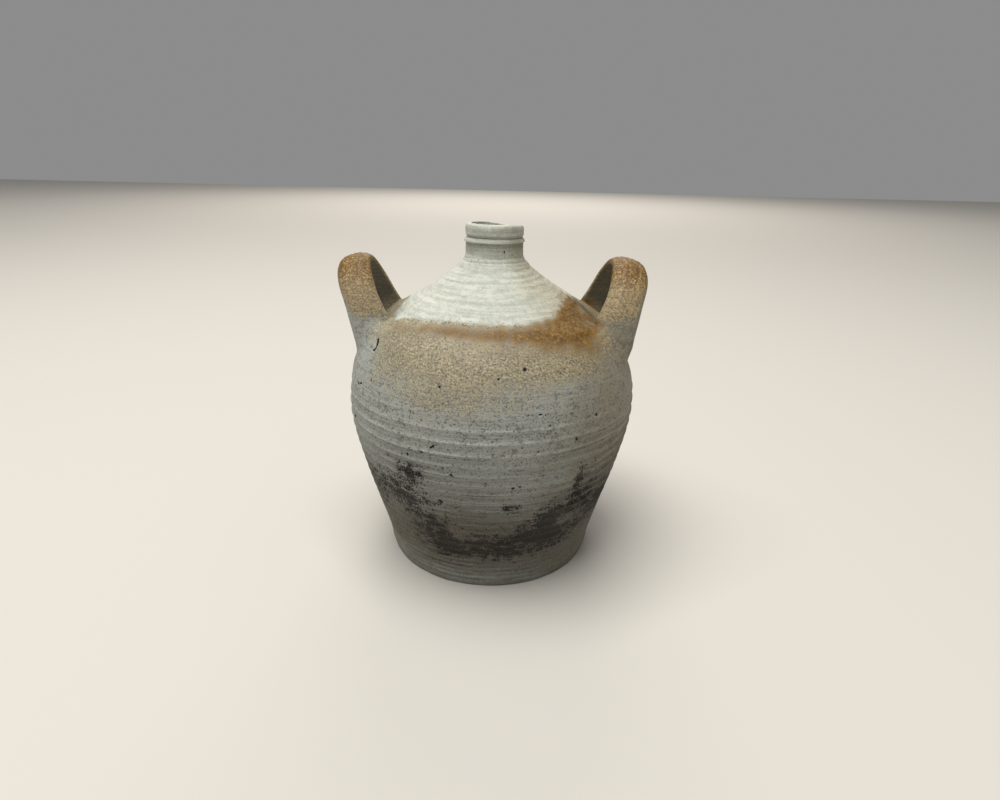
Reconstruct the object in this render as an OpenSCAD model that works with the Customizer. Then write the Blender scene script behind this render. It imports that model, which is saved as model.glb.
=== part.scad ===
// Two-handled stoneware jug: a thrown pot-bellied body with a narrow neck for a stopper
// and two pulled strap ears on its shoulder.
// Frame: +Z up, origin in the middle of the foot's underside, ears on the X axis.
// Every piece of clay is its own solid. Thrown sections meet in V-shaped luting joints.

/* [Body] */
// Diameter of the foot where it stands
foot_d = 170; // [140:1:205]
// How much the wall steps out, in radius, from the foot's edge to the top of the floor
foot_flare = 1.6; // [0.5:0.1:4]
// Thickness of the floor
floor_t = 9; // [7:0.5:12]
// Height of the bevel on the foot's lower edge
foot_bevel = 1.2; // [0.5:0.1:3]
// Thickness of the thrown wall
wall_t = 7; // [5.5:0.5:9]
// Largest diameter, at the belly
belly_d = 229; // [190:1:280]
// Height of the belly line above the table, where the two thrown sections meet
belly_h = 132; // [110:1:160]

/* [Shoulder] */
// Height of the rounded shoulder, from the belly line to the crease
shoulder_h = 71; // [59:1:86]
// Diameter at the crease between shoulder and cone
crease_d = 149; // [130:1:165]
// Height of the collared-in cone, from the crease to the foot of the neck
cone_h = 34; // [28:1:41]

/* [Neck] */
// Outer diameter of the straight neck
neck_d = 44; // [40:0.5:53]
// Extra radius of the flared foot of the neck
neck_flare = 3; // [1:0.1:5]
// Height of the neck, from the top of the cone to the seat of the lip
neck_h = 19.5; // [17:0.5:24]
// Diameter of the bore that takes the stopper
mouth_d = 30; // [24:0.5:33]
// How far the collar ring stands proud of the neck
collar_proud = 1; // [0.5:0.1:2]
// Height of the collar ring
collar_h = 3.5; // [2.5:0.5:4.5]
// How deep the collar ring is pressed into the neck
collar_seat = 1.5; // [0.8:0.1:2]
// Height of the narrow groove between the collar ring and the lip
groove_h = 1.5; // [0.5:0.1:2]
// How deep that groove is below the neck
groove_cut = 1.5; // [0.5:0.1:2]
// How far the rolled lip stands proud of the neck
lip_proud = 0.3; // [0:0.1:2]
// Height of the rolled lip
lip_h = 8.5; // [7:0.1:10]
// How far the mouth flares, in radius, from the bore to the top of the lip
lip_flare = 2.5; // [1:0.1:3]
// Radius of the small rounding where the mouth turns over into the lip's top
lip_edge = 1; // [0.5:0.1:1.5]

/* [Luting joints] */
// Height of the V-shaped ridges where sections are luted
lute_h = 2.4; // [1.5:0.1:3]
// Width of those ridges across the wall
lute_w = 3; // [2:0.1:4]

/* [Left ear] */
// Span of the left ear over its outer face, front to back
left_span = 68; // [56:1:82]
// Height of the left ear's top above the crease
left_rise = 38; // [31:1:46]
// How far below the crease the arch is at its widest
left_drop = 15; // [12:1:18]
// How far outside the crease its neck-side edge stands there
left_out = 0.5; // [-4:0.5:6]
// Lean of the left ear away from the neck, in degrees
left_lean = 21; // [12:1:30]
// Width of the left ear's strap
left_w = 26.5; // [22:0.5:31]

/* [Right ear] */
// Span of the right ear over its outer face, front to back
right_span = 88; // [74:1:106]
// Height of the right ear's top above the crease
right_rise = 39; // [32:1:47]
// How far below the crease the arch is at its widest
right_drop = 11; // [9:1:15]
// How far outside the crease its neck-side edge stands there
right_out = -1; // [-4:0.5:6]
// Lean of the right ear away from the neck, in degrees
right_lean = 19; // [12:1:30]
// Width of the right ear's strap
right_w = 28; // [22:0.5:33]

/* [Straps] */
// Thickness of a pulled strap in its middle
strap_t = 8; // [6.5:0.5:10]
// How far a strap's outer face is crowned in its middle; its inner face follows by a share
strap_crown = 4; // [0:0.5:5]
// How much wider a strap is where it is smeared on, as a share of its width
root_spread = 0.3; // [0:0.01:0.5]
// How far up the arch that widening reaches, as a share of its rise
spread_reach = 0.7; // [0.3:0.05:1]

/* [Hidden] */

$fn = 96;

// Heights of the luted seams, stacked from the table up
crease_z = belly_h + shoulder_h;
neck_z = crease_z + cone_h;
lip_z = neck_z + neck_h;
top_z = lip_z + lip_h;

// Steps along each outline
WALL_STEPS = 14;
SHOULDER_STEPS = 12;
CONE_STEPS = 6;
NECK_STEPS = 5;
LIP_STEPS = 10;
COLLAR_STEPS = 6;

// Radii at the seams
foot_r = foot_d / 2;
wall_r = foot_r + foot_flare;
belly_r = belly_d / 2;
crease_r = crease_d / 2;
neck_r = neck_d / 2;
root_r = neck_r + neck_flare;
mouth_r = mouth_d / 2;
groove_r = neck_r - groove_cut;

// ---- outlines: cubic curves, r across and z up ----

function cubic(p, t) =
    pow(1 - t, 3) * p[0] + 3 * pow(1 - t, 2) * t * p[1] + 3 * (1 - t) * t * t * p[2] + pow(t, 3) * p[3];
function cubic_slope(p, t) =
    3 * pow(1 - t, 2) * (p[1] - p[0]) + 6 * (1 - t) * t * (p[2] - p[1]) + 3 * t * t * (p[3] - p[2]);
function unit(v) = v / norm(v);
// Outward normal of an outline that runs upwards
function outward(v) = unit([v[1], -v[0]]);

// Lower wall: rises nearly straight from the floor and rounds to vertical at the belly
lower_curve = [[wall_r, floor_t],
               [wall_r + 0.02 * (belly_r - wall_r), floor_t + 0.13 * (belly_h - floor_t)],
               [belly_r, belly_h - 0.29 * (belly_h - floor_t)],
               [belly_r, belly_h]];
// Shoulder: vertical at the belly, then turns over towards the crease
upper_curve = [[belly_r, belly_h],
               [belly_r, belly_h + 0.15 * shoulder_h],
               [crease_r + 0.94 * (belly_r - crease_r), crease_z - 0.22 * shoulder_h],
               [crease_r, crease_z]];
// Cone: nearly straight from the crease, then hollow towards the flared foot of the neck
cone_curve = [[crease_r, crease_z],
              [crease_r - 0.35 * (crease_r - root_r), crease_z + 0.29 * cone_h],
              [root_r + 0.16 * (crease_r - root_r), neck_z - 0.26 * cone_h],
              [root_r, neck_z]];
// Neck: its flare dies out into the straight part in the first third of its height
neck_curve = [[root_r, neck_z],
              [root_r - 0.6 * neck_flare, neck_z + 0.1 * neck_h],
              [neck_r, neck_z + 0.2 * neck_h],
              [neck_r, neck_z + 0.36 * neck_h]];

// Points of a curve, ends included, and the same curve moved in by the wall's thickness
function outer_points(curve, steps) = [for (i = [0:steps]) cubic(curve, i / steps)];
function inner_points(curve, steps) =
    [for (i = [1:steps - 1]) cubic(curve, i / steps) - wall_t * outward(cubic_slope(curve, i / steps))];

// A seam runs across the wall from the outer point to the inner point. The lower section
// carries a V-shaped ridge in its middle, no wider than half the wall, and the upper
// section the groove that fits it.
function seam(outer, inner) =
    let (across = unit(inner - outer), up = [across[1], -across[0]], middle = (outer + inner) / 2,
         half_ridge = min(lute_w, norm(inner - outer) / 2) / 2)
    [outer, middle - half_ridge * across, middle + lute_h * up, middle + half_ridge * across, inner];
function reversed(points) = [for (i = [len(points) - 1:-1:0]) points[i]];
// Inner end of the mitred seam between two curves that meet at one outer point. The seam
// halves the angle between the two walls, so the wall keeps its thickness on both sides.
function mitre(lower, upper) =
    let (a = outward(cubic_slope(lower, 1)), b = outward(cubic_slope(upper, 0)), m = unit(a + b))
    lower[3] - wall_t / (m * a) * m;

// The seams, each shared by the two sections that meet in it
floor_seam = seam([wall_r, floor_t], [wall_r - wall_t, floor_t]);
belly_seam = seam([belly_r, belly_h], mitre(lower_curve, upper_curve));
crease_seam = seam([crease_r, crease_z], mitre(upper_curve, cone_curve));
neck_seam = seam([root_r, neck_z], [mouth_r, neck_z - wall_t]);
lip_seam = seam([groove_r, lip_z], [mouth_r, lip_z]);

// A thrown section between two seams
module thrown_section(lower_seam, curve, steps, upper_seam) {
    rotate_extrude()
        polygon(concat(
            outer_points(curve, steps),
            [for (i = [1:len(upper_seam) - 1]) upper_seam[i]],
            reversed(inner_points(curve, steps)),
            reversed([for (i = [1:len(lower_seam) - 1]) lower_seam[i]])));
}

// The whole outside of the body below the neck, as one solid that the ears are cut to
module body_outside() {
    rotate_extrude()
        polygon(concat(
            [[0, 0], [foot_r, 0]],
            outer_points(lower_curve, WALL_STEPS),
            [for (i = [1:SHOULDER_STEPS]) cubic(upper_curve, i / SHOULDER_STEPS)],
            [for (i = [1:CONE_STEPS]) cubic(cone_curve, i / CONE_STEPS)],
            [[0, neck_z]]));
}

// ---- the thrown pieces ----

// Floor: a flat pat of clay, cut off the wheel with a wire, with a ridge that the wall is luted over
module base_disc() {
    color("#6f675c")
    rotate_extrude()
        polygon(concat(
            [[0, 0], [foot_r - foot_bevel, 0], [foot_r, foot_bevel]],
            floor_seam,
            [[0, floor_t]]));
}

module lower_wall() {
    color("#8d887b") thrown_section(floor_seam, lower_curve, WALL_STEPS, belly_seam);
}

module upper_wall() {
    color("#a3937a") thrown_section(belly_seam, upper_curve, SHOULDER_STEPS, crease_seam);
}

module shoulder_cone() {
    color("#c4c0b0") thrown_section(crease_seam, cone_curve, CONE_STEPS, neck_seam);
}

// Neck: a tube round the stopper's bore, with a seat for the collar ring and a groove under the lip
collar_z = lip_z - groove_h - collar_h;
module neck() {
    color("#bdb8a8")
    rotate_extrude()
        polygon(concat(
            outer_points(neck_curve, NECK_STEPS),
            [[neck_r, collar_z], [neck_r - collar_seat, collar_z],
             [neck_r - collar_seat, lip_z - groove_h], [groove_r, lip_z - groove_h]],
            lip_seam,
            reversed([for (i = [1:len(neck_seam) - 1]) neck_seam[i]])));
}

// Collar ring: a thin coil pressed into its seat round the neck, with a rounded outside
module collar_ring() {
    seat_r = neck_r - collar_seat;
    color("#c9c4b4")
    rotate_extrude()
        polygon(concat(
            [[seat_r, collar_z]],
            [for (i = [0:COLLAR_STEPS])
                let (a = -90 + 180 * i / COLLAR_STEPS)
                [neck_r + collar_proud * cos(a), collar_z + collar_h * (1 + sin(a)) / 2]],
            [[seat_r, collar_z + collar_h]]));
}

// Lip: the rim rolled outwards, with a mouth that flares for the stopper. The roll's section
// is half of a superellipse, from the seat round to the top.
LIP_SQUARENESS = 0.7;
module lip_ring() {
    lip_mouth_r = mouth_r + lip_flare;
    roll_r = lip_mouth_r + lip_edge;
    bulge = neck_r + lip_proud - roll_r;
    half = lip_h / 2;
    color("#cfcabb")
    rotate_extrude()
        polygon(concat(
            reversed(lip_seam),
            [for (i = [1:LIP_STEPS])
                let (a = -90 + 180 * i / LIP_STEPS)
                [roll_r + bulge * pow(cos(a), LIP_SQUARENESS),
                 lip_z + half + half * sign(sin(a)) * pow(abs(sin(a)), LIP_SQUARENESS)]],
            [[lip_mouth_r, top_z - lip_edge]]));
}

// ---- the pulled ears ----

// A strap is one skin swept along an arch. The arch stands in a plane that holds the Y
// direction and leans outwards, and the strap's width runs across that plane.
ARCH_STEPS = 28;
LEG_STEPS = 3;
SECTION_STEPS = 20;
// Powers of the superellipses: the arch is a little squarer than an ellipse, and so is the section
ARCH_POWER = 2.15;
SECTION_POWER = 2.8;

// A point of a superellipse with half axes a and b
function squarish(angle, a, b, power) =
    let (c = cos(angle), q = sin(angle))
    [a * sign(c) * pow(abs(c), 2 / power), b * sign(q) * pow(abs(q), 2 / power)];
// Along the arch: 0 to 1 is the arch from front to back, and a leg runs down beyond each end
function arch_point(s, half_span, rise, leg) =
    s < 0 ? [-half_span, s * leg]
    : s > 1 ? [half_span, (1 - s) * leg]
    : squarish(180 * (1 - s), half_span, rise, ARCH_POWER);
function stations() =
    concat([for (i = [0:LEG_STEPS - 1]) i / LEG_STEPS - 1],
           [for (i = [0:ARCH_STEPS]) i / ARCH_STEPS],
           [for (i = [1:LEG_STEPS]) 1 + i / LEG_STEPS]);
// How much of the crown the inner face follows, and how much higher the crown is away from the neck
INNER_SHARE = 0.4;
CROWN_BIAS = 0.3;
// Across the strap: a flattened oval with a crowned outer face
function strap_section(width, thick) =
    [for (i = [0:SECTION_STEPS - 1])
        let (p = squarish(360 * i / SECTION_STEPS, width / 2, thick / 2, SECTION_POWER),
             a = 2 * p[0] / width,
             crown = strap_crown * (1 - a * a) * (1 + CROWN_BIAS * a))
        [p[0], p[1] + (p[1] < 0 ? INNER_SHARE : 1) * crown]];

module ear(side, span, rise_over, drop, outside, lean, width) {
    up = [side * sin(lean), 0, cos(lean)];
    out = [side * cos(lean), 0, -sin(lean)];
    half_span = (span - strap_t) / 2;
    rise = (rise_over + drop) / cos(lean) - strap_t / 2;
    // middle of the strap's width where the arch is widest
    origin = [side * (crease_r + outside), 0, crease_z - drop] + width / 2 * out;
    // the legs run down to the belly line, well inside the wall, and are cut to it
    leg = (crease_z - drop - belly_h) / cos(lean);
    along = stations();
    last = len(along) - 1;
    rings = [for (k = [0:last])
        let (s = along[k],
             here = arch_point(s, half_span, rise, leg),
             before = arch_point(along[max(k - 1, 0)], half_span, rise, leg),
             after = arch_point(along[min(k + 1, last)], half_span, rise, leg),
             t = unit(after - before),
             n = [-t[1], t[0]],
             low = min(1, max(0, 1 - here[1] / (spread_reach * rise))),
             swell = root_spread * low * low,
             oval = strap_section(width * (1 + swell), strap_t * (1 + swell / 2)))
        [for (p = oval)
            origin + p[0] * out
            + (here[0] + p[1] * n[0]) * [0, 1, 0] + (here[1] + p[1] * n[1]) * up]];
    points = [for (ring = rings) for (p = ring) p];
    m = SECTION_STEPS;
    sides = [for (k = [0:last - 1]) for (j = [0:m - 1])
        let (a = k * m + j, b = k * m + (j + 1) % m, c = a + m, d = b + m)
        for (tri = side > 0 ? [[a, c, b], [b, c, d]] : [[a, b, c], [b, d, c]]) tri];
    front = [for (j = [0:m - 1]) side > 0 ? j : m - 1 - j];
    back = [for (j = [0:m - 1]) last * m + (side > 0 ? m - 1 - j : j)];
    difference() {
        polyhedron(points, concat(sides, [front, back]));
        body_outside();
    }
}

module left_handle() {
    color("#a98a63") ear(-1, left_span, left_rise, left_drop, left_out, left_lean, left_w);
}

module right_handle() {
    color("#a07f58") ear(1, right_span, right_rise, right_drop, right_out, right_lean, right_w);
}

base_disc();
lower_wall();
upper_wall();
shoulder_cone();
neck();
collar_ring();
lip_ring();
left_handle();
right_handle();
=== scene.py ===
# A pot-bellied stoneware jug with two ears, thrown in sections, luted together and fired with wood
# and salt. Lengths are in millimetres until a mesh is made. Angles round the jug are in degrees,
# 0 at the front and growing towards the right ear.
import math

import bpy
import numpy as np
from mathutils import Matrix, Vector


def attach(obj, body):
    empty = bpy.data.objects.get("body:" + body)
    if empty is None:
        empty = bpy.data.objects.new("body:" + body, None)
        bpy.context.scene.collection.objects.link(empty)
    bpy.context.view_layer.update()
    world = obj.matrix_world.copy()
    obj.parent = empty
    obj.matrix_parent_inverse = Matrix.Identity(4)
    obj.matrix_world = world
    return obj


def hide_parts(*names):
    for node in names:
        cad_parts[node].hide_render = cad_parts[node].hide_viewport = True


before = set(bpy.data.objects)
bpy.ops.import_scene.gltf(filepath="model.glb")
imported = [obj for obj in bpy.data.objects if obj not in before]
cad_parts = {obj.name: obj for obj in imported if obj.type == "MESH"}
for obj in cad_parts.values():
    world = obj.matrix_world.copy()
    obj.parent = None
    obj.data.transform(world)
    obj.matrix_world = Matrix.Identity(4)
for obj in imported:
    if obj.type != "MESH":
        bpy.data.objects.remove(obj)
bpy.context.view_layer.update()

# ==== Floor of the jug ====
# A pat of stoneware clay, 9 mm thick, thrown flat on the wheel and cut off with a twisted wire,
# which left curved drag lines underneath. Its edge shows as the foot, worn and a little rounded.

FOOT_R = 85.0
FOOT_BEVEL = 1.2
WALL_R = 86.6
FLOOR_T = 9.0
WALL_T = 7.0
LUTE_H = 2.4
LUTE_W = 3.0
BODY_COLUMNS = 540
FLOOR_RINGS = 44
WIRE_PITCH = 4.2
WIRE_DEPTH = 0.5
WIRE_CENTRE = (-150.0, 60.0)
# The pitch of the finger's spiral inside, and the radius of the innermost row of points
FLOOR_PITCH = 9.0
POLE_R = 1.5


def placed(name, data):
    """An object in the scene for a mesh, a lamp or a camera."""
    made = bpy.data.objects.new(name, data)
    bpy.context.collection.objects.link(made)
    return made


def skin(name, grid, closed):
    """A mesh over a grid of points in millimetres. Neighbours along rows and columns are joined by
    quads, and the columns join up round the piece. The rows join up too when closed is true, and
    otherwise each end gets a fan of triangles to the middle of its row."""
    rows, columns = grid.shape[:2]
    index = np.arange(rows * columns).reshape(rows, columns)
    low = index if closed else index[:-1]
    high = np.roll(index, -1, axis=0) if closed else index[1:]
    quads = np.stack([low, np.roll(low, -1, 1), np.roll(high, -1, 1), high], axis=-1).reshape(-1, 4)
    points = grid.reshape(-1, 3)
    corners = quads.ravel()
    sizes = np.full(len(quads), 4)
    if not closed:
        start, end = index[0], index[-1]
        points = np.vstack([points, grid[0].mean(axis=0), grid[-1].mean(axis=0)])
        first = np.stack([np.full(columns, len(points) - 2), np.roll(start, -1), start], axis=-1)
        last = np.stack([np.full(columns, len(points) - 1), end, np.roll(end, -1)], axis=-1)
        corners = np.concatenate([corners, first.ravel(), last.ravel()])
        sizes = np.concatenate([sizes, np.full(2 * columns, 3)])
    mesh = bpy.data.meshes.new(name)
    mesh.vertices.add(len(points))
    mesh.vertices.foreach_set("co", (points / 1000).astype(np.float32).ravel())
    mesh.loops.add(len(corners))
    mesh.loops.foreach_set("vertex_index", corners.astype(np.int32))
    mesh.polygons.add(len(sizes))
    mesh.polygons.foreach_set("loop_start", (np.cumsum(sizes) - sizes).astype(np.int32))
    mesh.polygons.foreach_set("loop_total", sizes.astype(np.int32))
    mesh.polygons.foreach_set("use_smooth", np.ones(len(sizes), bool))
    mesh.update(calc_edges=True)
    mesh.validate()
    mesh.set_sharp_from_angle(angle=math.radians(50))
    return placed(name, mesh)


def colour_marks(piece, grid, marks):
    """Writes each mark, one value for each point of the grid, to the piece as an attribute for its
    material. The two middle points that a fan adds take the mean of their rows."""
    for name, values in marks.items():
        values = np.broadcast_to(values, grid.shape[:2])
        flat = values.ravel()
        if len(piece.data.vertices) > flat.size:
            flat = np.append(flat, [values[0].mean(), values[-1].mean()])
        made = piece.data.attributes.new(name, "FLOAT", "POINT")
        made.data.foreach_set("value", flat.astype(np.float32))


def columns_round(count):
    """Angles of a row of points round the axis: even steps, less a sine of 0.35, so that they are
    closer together at the front, where the finest marks are."""
    even = np.linspace(-np.pi, np.pi, count, endpoint=False)
    return np.degrees(even - 0.35 * np.sin(even))


def turned(radius, height, angle):
    """Points at a radius and a height, turned round the axis: x is r sin a and y is -r cos a."""
    a = np.radians(angle)
    return np.stack(np.broadcast_arrays(radius * np.sin(a), -radius * np.cos(a), height), axis=-1)


def set_in(line, normal, depth, angle):
    """An outline moved against its normals by a depth at each angle, and turned round the axis."""
    return turned(line[:, 0:1] - depth * normal[:, 0:1], line[:, 1:2] - depth * normal[:, 1:2], angle)


def between(x, low, high):
    """0 below low, 1 above high, and between them the smooth step 3t^2 - 2t^3."""
    t = np.clip((x - low) / (high - low), 0, 1)
    return t * t * (3 - 2 * t)


def turn_gap(angle, other):
    """Degrees from one angle to another the short way round."""
    return (angle - other + 180) % 360 - 180


def cloud(angle, height, size, seed):
    """Smooth unevenness with humps of a size in millimetres and a spread of about 0.5: a sum of
    sixteen cosine waves in random directions, each with whole periods round the body."""
    draw = np.random.default_rng(seed)
    total = 0
    for _ in range(16):
        heading = draw.uniform(0, np.pi)
        rate = 2 * np.pi / size * draw.uniform(0.6, 1.5)
        around = np.round(100 * rate * np.cos(heading))
        shift = draw.uniform(0, 2 * np.pi)
        total = total + np.cos(around * np.radians(angle) + rate * np.sin(heading) * height + shift)
    return total / 5.7


def spots(angle, height, oval_list):
    """Sum of soft ovals. Each is an angle, a height, a half width in degrees, a half height in
    millimetres and a strength, and fades as a bell, exp of minus the squared distance."""
    total = 0
    for a, z, wide, high, strength in oval_list:
        total = total + strength * np.exp(-(turn_gap(angle, a) / wide) ** 2 - ((height - z) / high) ** 2)
    return total


# Heights at the front of the ridges that the potter's fingers left. They are one spiral, which
# climbs from each to the next in one turn.
RIDGES = (4.0, 8.5, 13.0, 17.5, 22.0, 26.5, 31.5, 37.5, 44.0, 50.5, 57.5, 64.5, 72.0, 79.0, 86.5,
          94.0, 101.5, 109.2, 116.7, 125.5, 134.7, 143.5, 152.5)
RIDGE_DEPTH = 1.25
# The share of that depth that the troughs have, at these heights
REACH_HEIGHTS = (0, 8, 14, 40, 70, 122, 136, 150, 162)
REACH_SHARES = (0, 0.5, 0.85, 0.8, 1.1, 1.15, 0.8, 0.25, 0)
# Hollows that the hand pressed in while the ears were fixed, slow dents of the throwing, and, with
# a strength below 0, one small swelling under the crease
DENTS = (
    (-90, 174, 24, 13, 1.2), (-90, 144, 22, 13, 0.9), (92, 166, 20, 9, 1.5), (70, 170, 12, 8, 0.7),
    (-86, 197, 13, 7, 6.0), (-68, 200, 7, 6, 2.5), (85, 198, 14, 7, 4.2), (64, 202, 8, 6, 2.2),
    (48, 197, 10, 2.2, -0.9), (150, 120, 30, 30, 0.8), (-140, 90, 35, 30, 0.7), (20, 100, 25, 30, 0.3))


def pressed(angle, height):
    """How far the outside lies within its turned outline, in millimetres: the troughs between the
    spiral ridges, finer ridges between them, dents, and a slow wobble of two waves to the turn."""
    turns = np.interp(height, RIDGES, np.arange(len(RIDGES))) - angle / 360
    pitch = np.interp(height, RIDGES[1:], np.diff(RIDGES))
    off = np.abs(turns - np.round(turns)) * pitch
    half = (turns + 0.43) - np.round(turns + 0.43)
    third = (turns * 3 + 0.2) - np.round(turns * 3 + 0.2)
    crest = np.exp(-((off / 1.0) ** 2)) + 0.35 * np.exp(-((half * pitch / 0.8) ** 2))
    crest = crest + 0.16 * (1 + cloud(angle, height * 3, 60, 4)) * np.exp(-((third * pitch / 2.1) ** 2))
    hand = 1 + 0.45 * cloud(angle, height * 2, 90, 3)
    reach = np.interp(height, REACH_HEIGHTS, REACH_SHARES)
    troughs = RIDGE_DEPTH * reach * hand * (1 - np.minimum(crest, 1) + 0.35 * np.sin(np.pi * turns) ** 2)
    belly = between(height, 10, 60) * (1 - between(height, 170, 200))
    wobble = 0.35 * belly * (1 + np.cos(2 * np.radians(angle - 35)))
    uneven = 0.12 * (1 + cloud(angle, height, 34, 5)) * between(height, 2, 20)
    return troughs + wobble + uneven + spots(angle, height, DENTS)


def seam_across(outer, inner):
    """A luting seam from the outer to the inner edge of a wall, with a V-shaped ridge in its middle."""
    outer, inner = np.array(outer), np.array(inner)
    across = (inner - outer) / np.linalg.norm(inner - outer)
    up = np.array([across[1], -across[0]])
    middle = (outer + inner) / 2
    half_ridge = min(LUTE_W, np.linalg.norm(inner - outer) / 2) / 2
    return np.array([outer, middle - half_ridge * across, middle + LUTE_H * up,
                     middle + half_ridge * across, inner])


def squeezed(seam, outer_depth, inner_depth, angle):
    """Rows of a seam whose outer and inner edges are pressed in by a depth at each angle. A point
    between them moves by a depth between the two, in proportion to its place."""
    width = np.linalg.norm(seam[-1] - seam[0])
    across = (seam[-1] - seam[0]) / width
    share = ((seam[-1] - seam) @ across / width)[:, None]
    move = inner_depth + (outer_depth - inner_depth) * share
    return turned(seam[:, 0:1] + across[0] * move, seam[:, 1:2] + across[1] * move, angle)


# The firing: where ash, flame and the kiln's dirt coloured the outside. A mark is mostly 0 to 1.
KHAKI_SPOTS = (
    (-64, 176, 12, 18, -0.8), (64, 176, 16, 16, -0.5), (27, 168, 9, 7, -0.3), (45, 165, 12, 9, -0.2),
    (-22, 158, 18, 8, 0.2), (8, 160, 18, 6, 0.15), (180, 172, 40, 10, -0.3))
RUST_SPOTS = (
    (6, 199.5, 24, 3.6, 0.75), (30, 198.5, 13, 6, 0.75), (50, 201, 14, 7, 1.3), (60, 206, 12, 4, 1.0),
    (46, 188, 11, 6, 0.5), (-24, 200, 16, 2.8, 0.5), (74, 207, 15, 9, 1.0), (20, 192, 30, 6, 0.25),
    (-50, 197, 14, 2.5, 0.35), (120, 200, 26, 5, 0.7), (165, 199, 30, 4, 0.6), (-150, 200, 24, 4, 0.6),
    (-115, 201, 14, 5, 0.5), (140, 186, 14, 8, 0.35))
SLIP_SPOTS = (
    (-64, 203, 16, 9, 0.6), (82, 208, 24, 14, -1.0), (-100, 206, 16, 9, -0.4))
RUST_GAPS = ((71, 205.5, 8, 2.4, 1.1),)
CRUST_SPOTS = (
    (-36, 78, 12, 22, 0.62), (-31, 104, 6, 8, 0.55), (-22, 50, 10, 24, 0.45), (-52, 84, 9, 12, 0.35),
    (-56, 60, 9, 14, 0.4), (8, 80, 4, 5, 0.65), (27, 68, 10, 13, 0.68), (37, 92, 2.4, 18, 0.65),
    (44, 74, 7, 13, 0.5), (4, 44, 34, 15, 0.5), (30, 48, 20, 14, 0.5), (0, 33, 34, 7, 0.3),
    (62, 60, 14, 18, 0.75), (48, 100, 12, 12, 0.35), (95, 66, 22, 18, 0.6), (130, 84, 9, 18, 0.6),
    (150, 62, 24, 20, 0.7), (-172, 78, 12, 22, 0.7), (-150, 50, 26, 14, 0.6), (-118, 62, 12, 12, 0.5),
    (-82, 60, 7, 40, -0.3), (14, 90, 3, 7, -0.3), (-13, 52, 3.5, 5, -0.6), (35, 58, 4, 4, -0.5),
    (-44, 64, 4, 4, -0.4), (2, 63, 3, 4, -0.4), (20, 40, 5, 3, -0.3))
SMOKE_SPOTS = (
    (-80, 40, 9, 50, -0.25), (-64, 76, 10, 16, 0.3), (45, 90, 20, 24, 0.1), (10, 96, 10, 10, -0.1),
    (0, 4, 400, 22, -0.42))
# Painted shade: dark spots in the hollows at the crease under the ears' roots
PAINTED_SHADE_SPOTS = (
    (84, 205, 8, 6, 0.6), (58, 206, 6, 3, 0.25), (67, 200, 14, 2.5, 0.35), (-76, 203, 10, 4, 0.3),
    (108, 204, 12, 4, 0.4), (-106, 203, 10, 4, 0.3))


def firing(angle, height):
    """The marks of the firing at an angle and a height, and one mark of painted shade. Khaki ash covers
    the shoulder, pale slip stays on the cone above the crease, rust is a flash along the crease, smoke
    darkens the lower belly, crust is the black-brown dirt that stuck to it, warm browns the side that
    faced the fire, and iron is how strongly the specks show. The last mark is painted shade, a darkening
    in the hollows at the crease under the ears. Each is a step in height or angle, plus spots."""
    def here(oval_list):
        """The spots of a list, at these angles and heights."""
        return spots(angle, height, oval_list)

    flash = here(RUST_SPOTS)
    khaki = between(height + 4 * cloud(angle, height, 60, 11), 141, 190) + here(KHAKI_SPOTS)
    slip_edge = height + cloud(angle, height, 24, 12) - 3.5 * flash + 8 * here(SLIP_SPOTS)
    smoke = 0.27 * (1 - between(height, 112, 132)) + 0.65 * (1 - between(height, 40, 112))
    crust = 1.35 * here(CRUST_SPOTS) + 0.14 * cloud(angle, height, 12, 14)
    from_fire = turn_gap(angle, 90)
    return {"khaki": khaki,
            "pale": between(slip_edge, 201, 207),
            "rust": flash - here(RUST_GAPS) + 0.1 * cloud(angle, height, 14, 13),
            "smoke": smoke + here(SMOKE_SPOTS),
            "crust": crust - 0.12 - 0.4 * between(height, 130, 165),
            "warm": between(from_fire, -85, -35) * (1 - between(from_fire, 60, 110)),
            "iron": 0.35 + 0.65 * (1 - between(height, 150, 170)) - 0.25 * between(height, 200, 210),
            "painted_shade": here(PAINTED_SHADE_SPOTS)}


# Pits and tears. Each runs straight between two points, an angle and a height, with a half width.
FLAWS = (
    (13, 182, 13.2, 182, 1.1), (3, 177, 3.2, 176.8, 0.7), (-18, 170, -17.8, 170, 0.8),
    (-13.1, 108.6, -12.8, 107.8, 1.3), (-24, 123.2, -23.6, 123.8, 1.1), (-20.4, 127.6, -19, 130, 0.7),
    (9, 98, 9.4, 98.3, 1.0), (11.5, 99.6, 12, 99.6, 0.8), (41, 146.5, 41.2, 146, 1.0),
    (32, 133, 32.6, 131, 0.7), (-60.5, 187.5, -57.8, 186.6, 0.7), (-57.8, 186.6, -56.0, 184, 1.2),
    (-56, 184, -55.6, 181, 0.9), (-57, 180.4, -56.2, 180.2, 0.7), (-60.4, 180.6, -60, 181, 0.7),
    (-62, 155, -59.5, 153.6, 0.7), (-59, 155.4, -57, 156.6, 0.6), (-50.5, 163.5, -50.1, 162, 0.6),
    (-30.4, 118.2, -30.1, 117.8, 0.8), (-16.4, 112.8, -16.2, 112.3, 0.8),
    (-41, 110.8, -40.8, 110.4, 0.8), (17, 154, 18, 154.1, 0.5), (21, 146, 21.2, 145.6, 0.6),
    (-66, 125.4, -64.6, 124.6, 0.9), (-26.5, 103.5, -26.2, 103, 0.8), (-19, 83, -18.4, 82, 1.2),
    (-17, 78, -16.6, 77.6, 0.9), (104, 140, 104.4, 139.4, 1.0), (128, 168, 128.3, 167.8, 0.8),
    (158, 121.5, 158.4, 121, 1.2), (-168, 150, -167.7, 149.6, 0.9), (-138, 176, -137.6, 175.8, 0.8),
    (-122, 127, -121.6, 126, 0.9), (176, 104, 176.6, 103.6, 1.1), (146, 150, 146.4, 148.6, 0.7))
FLAW_DEPTH = 1.0


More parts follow.
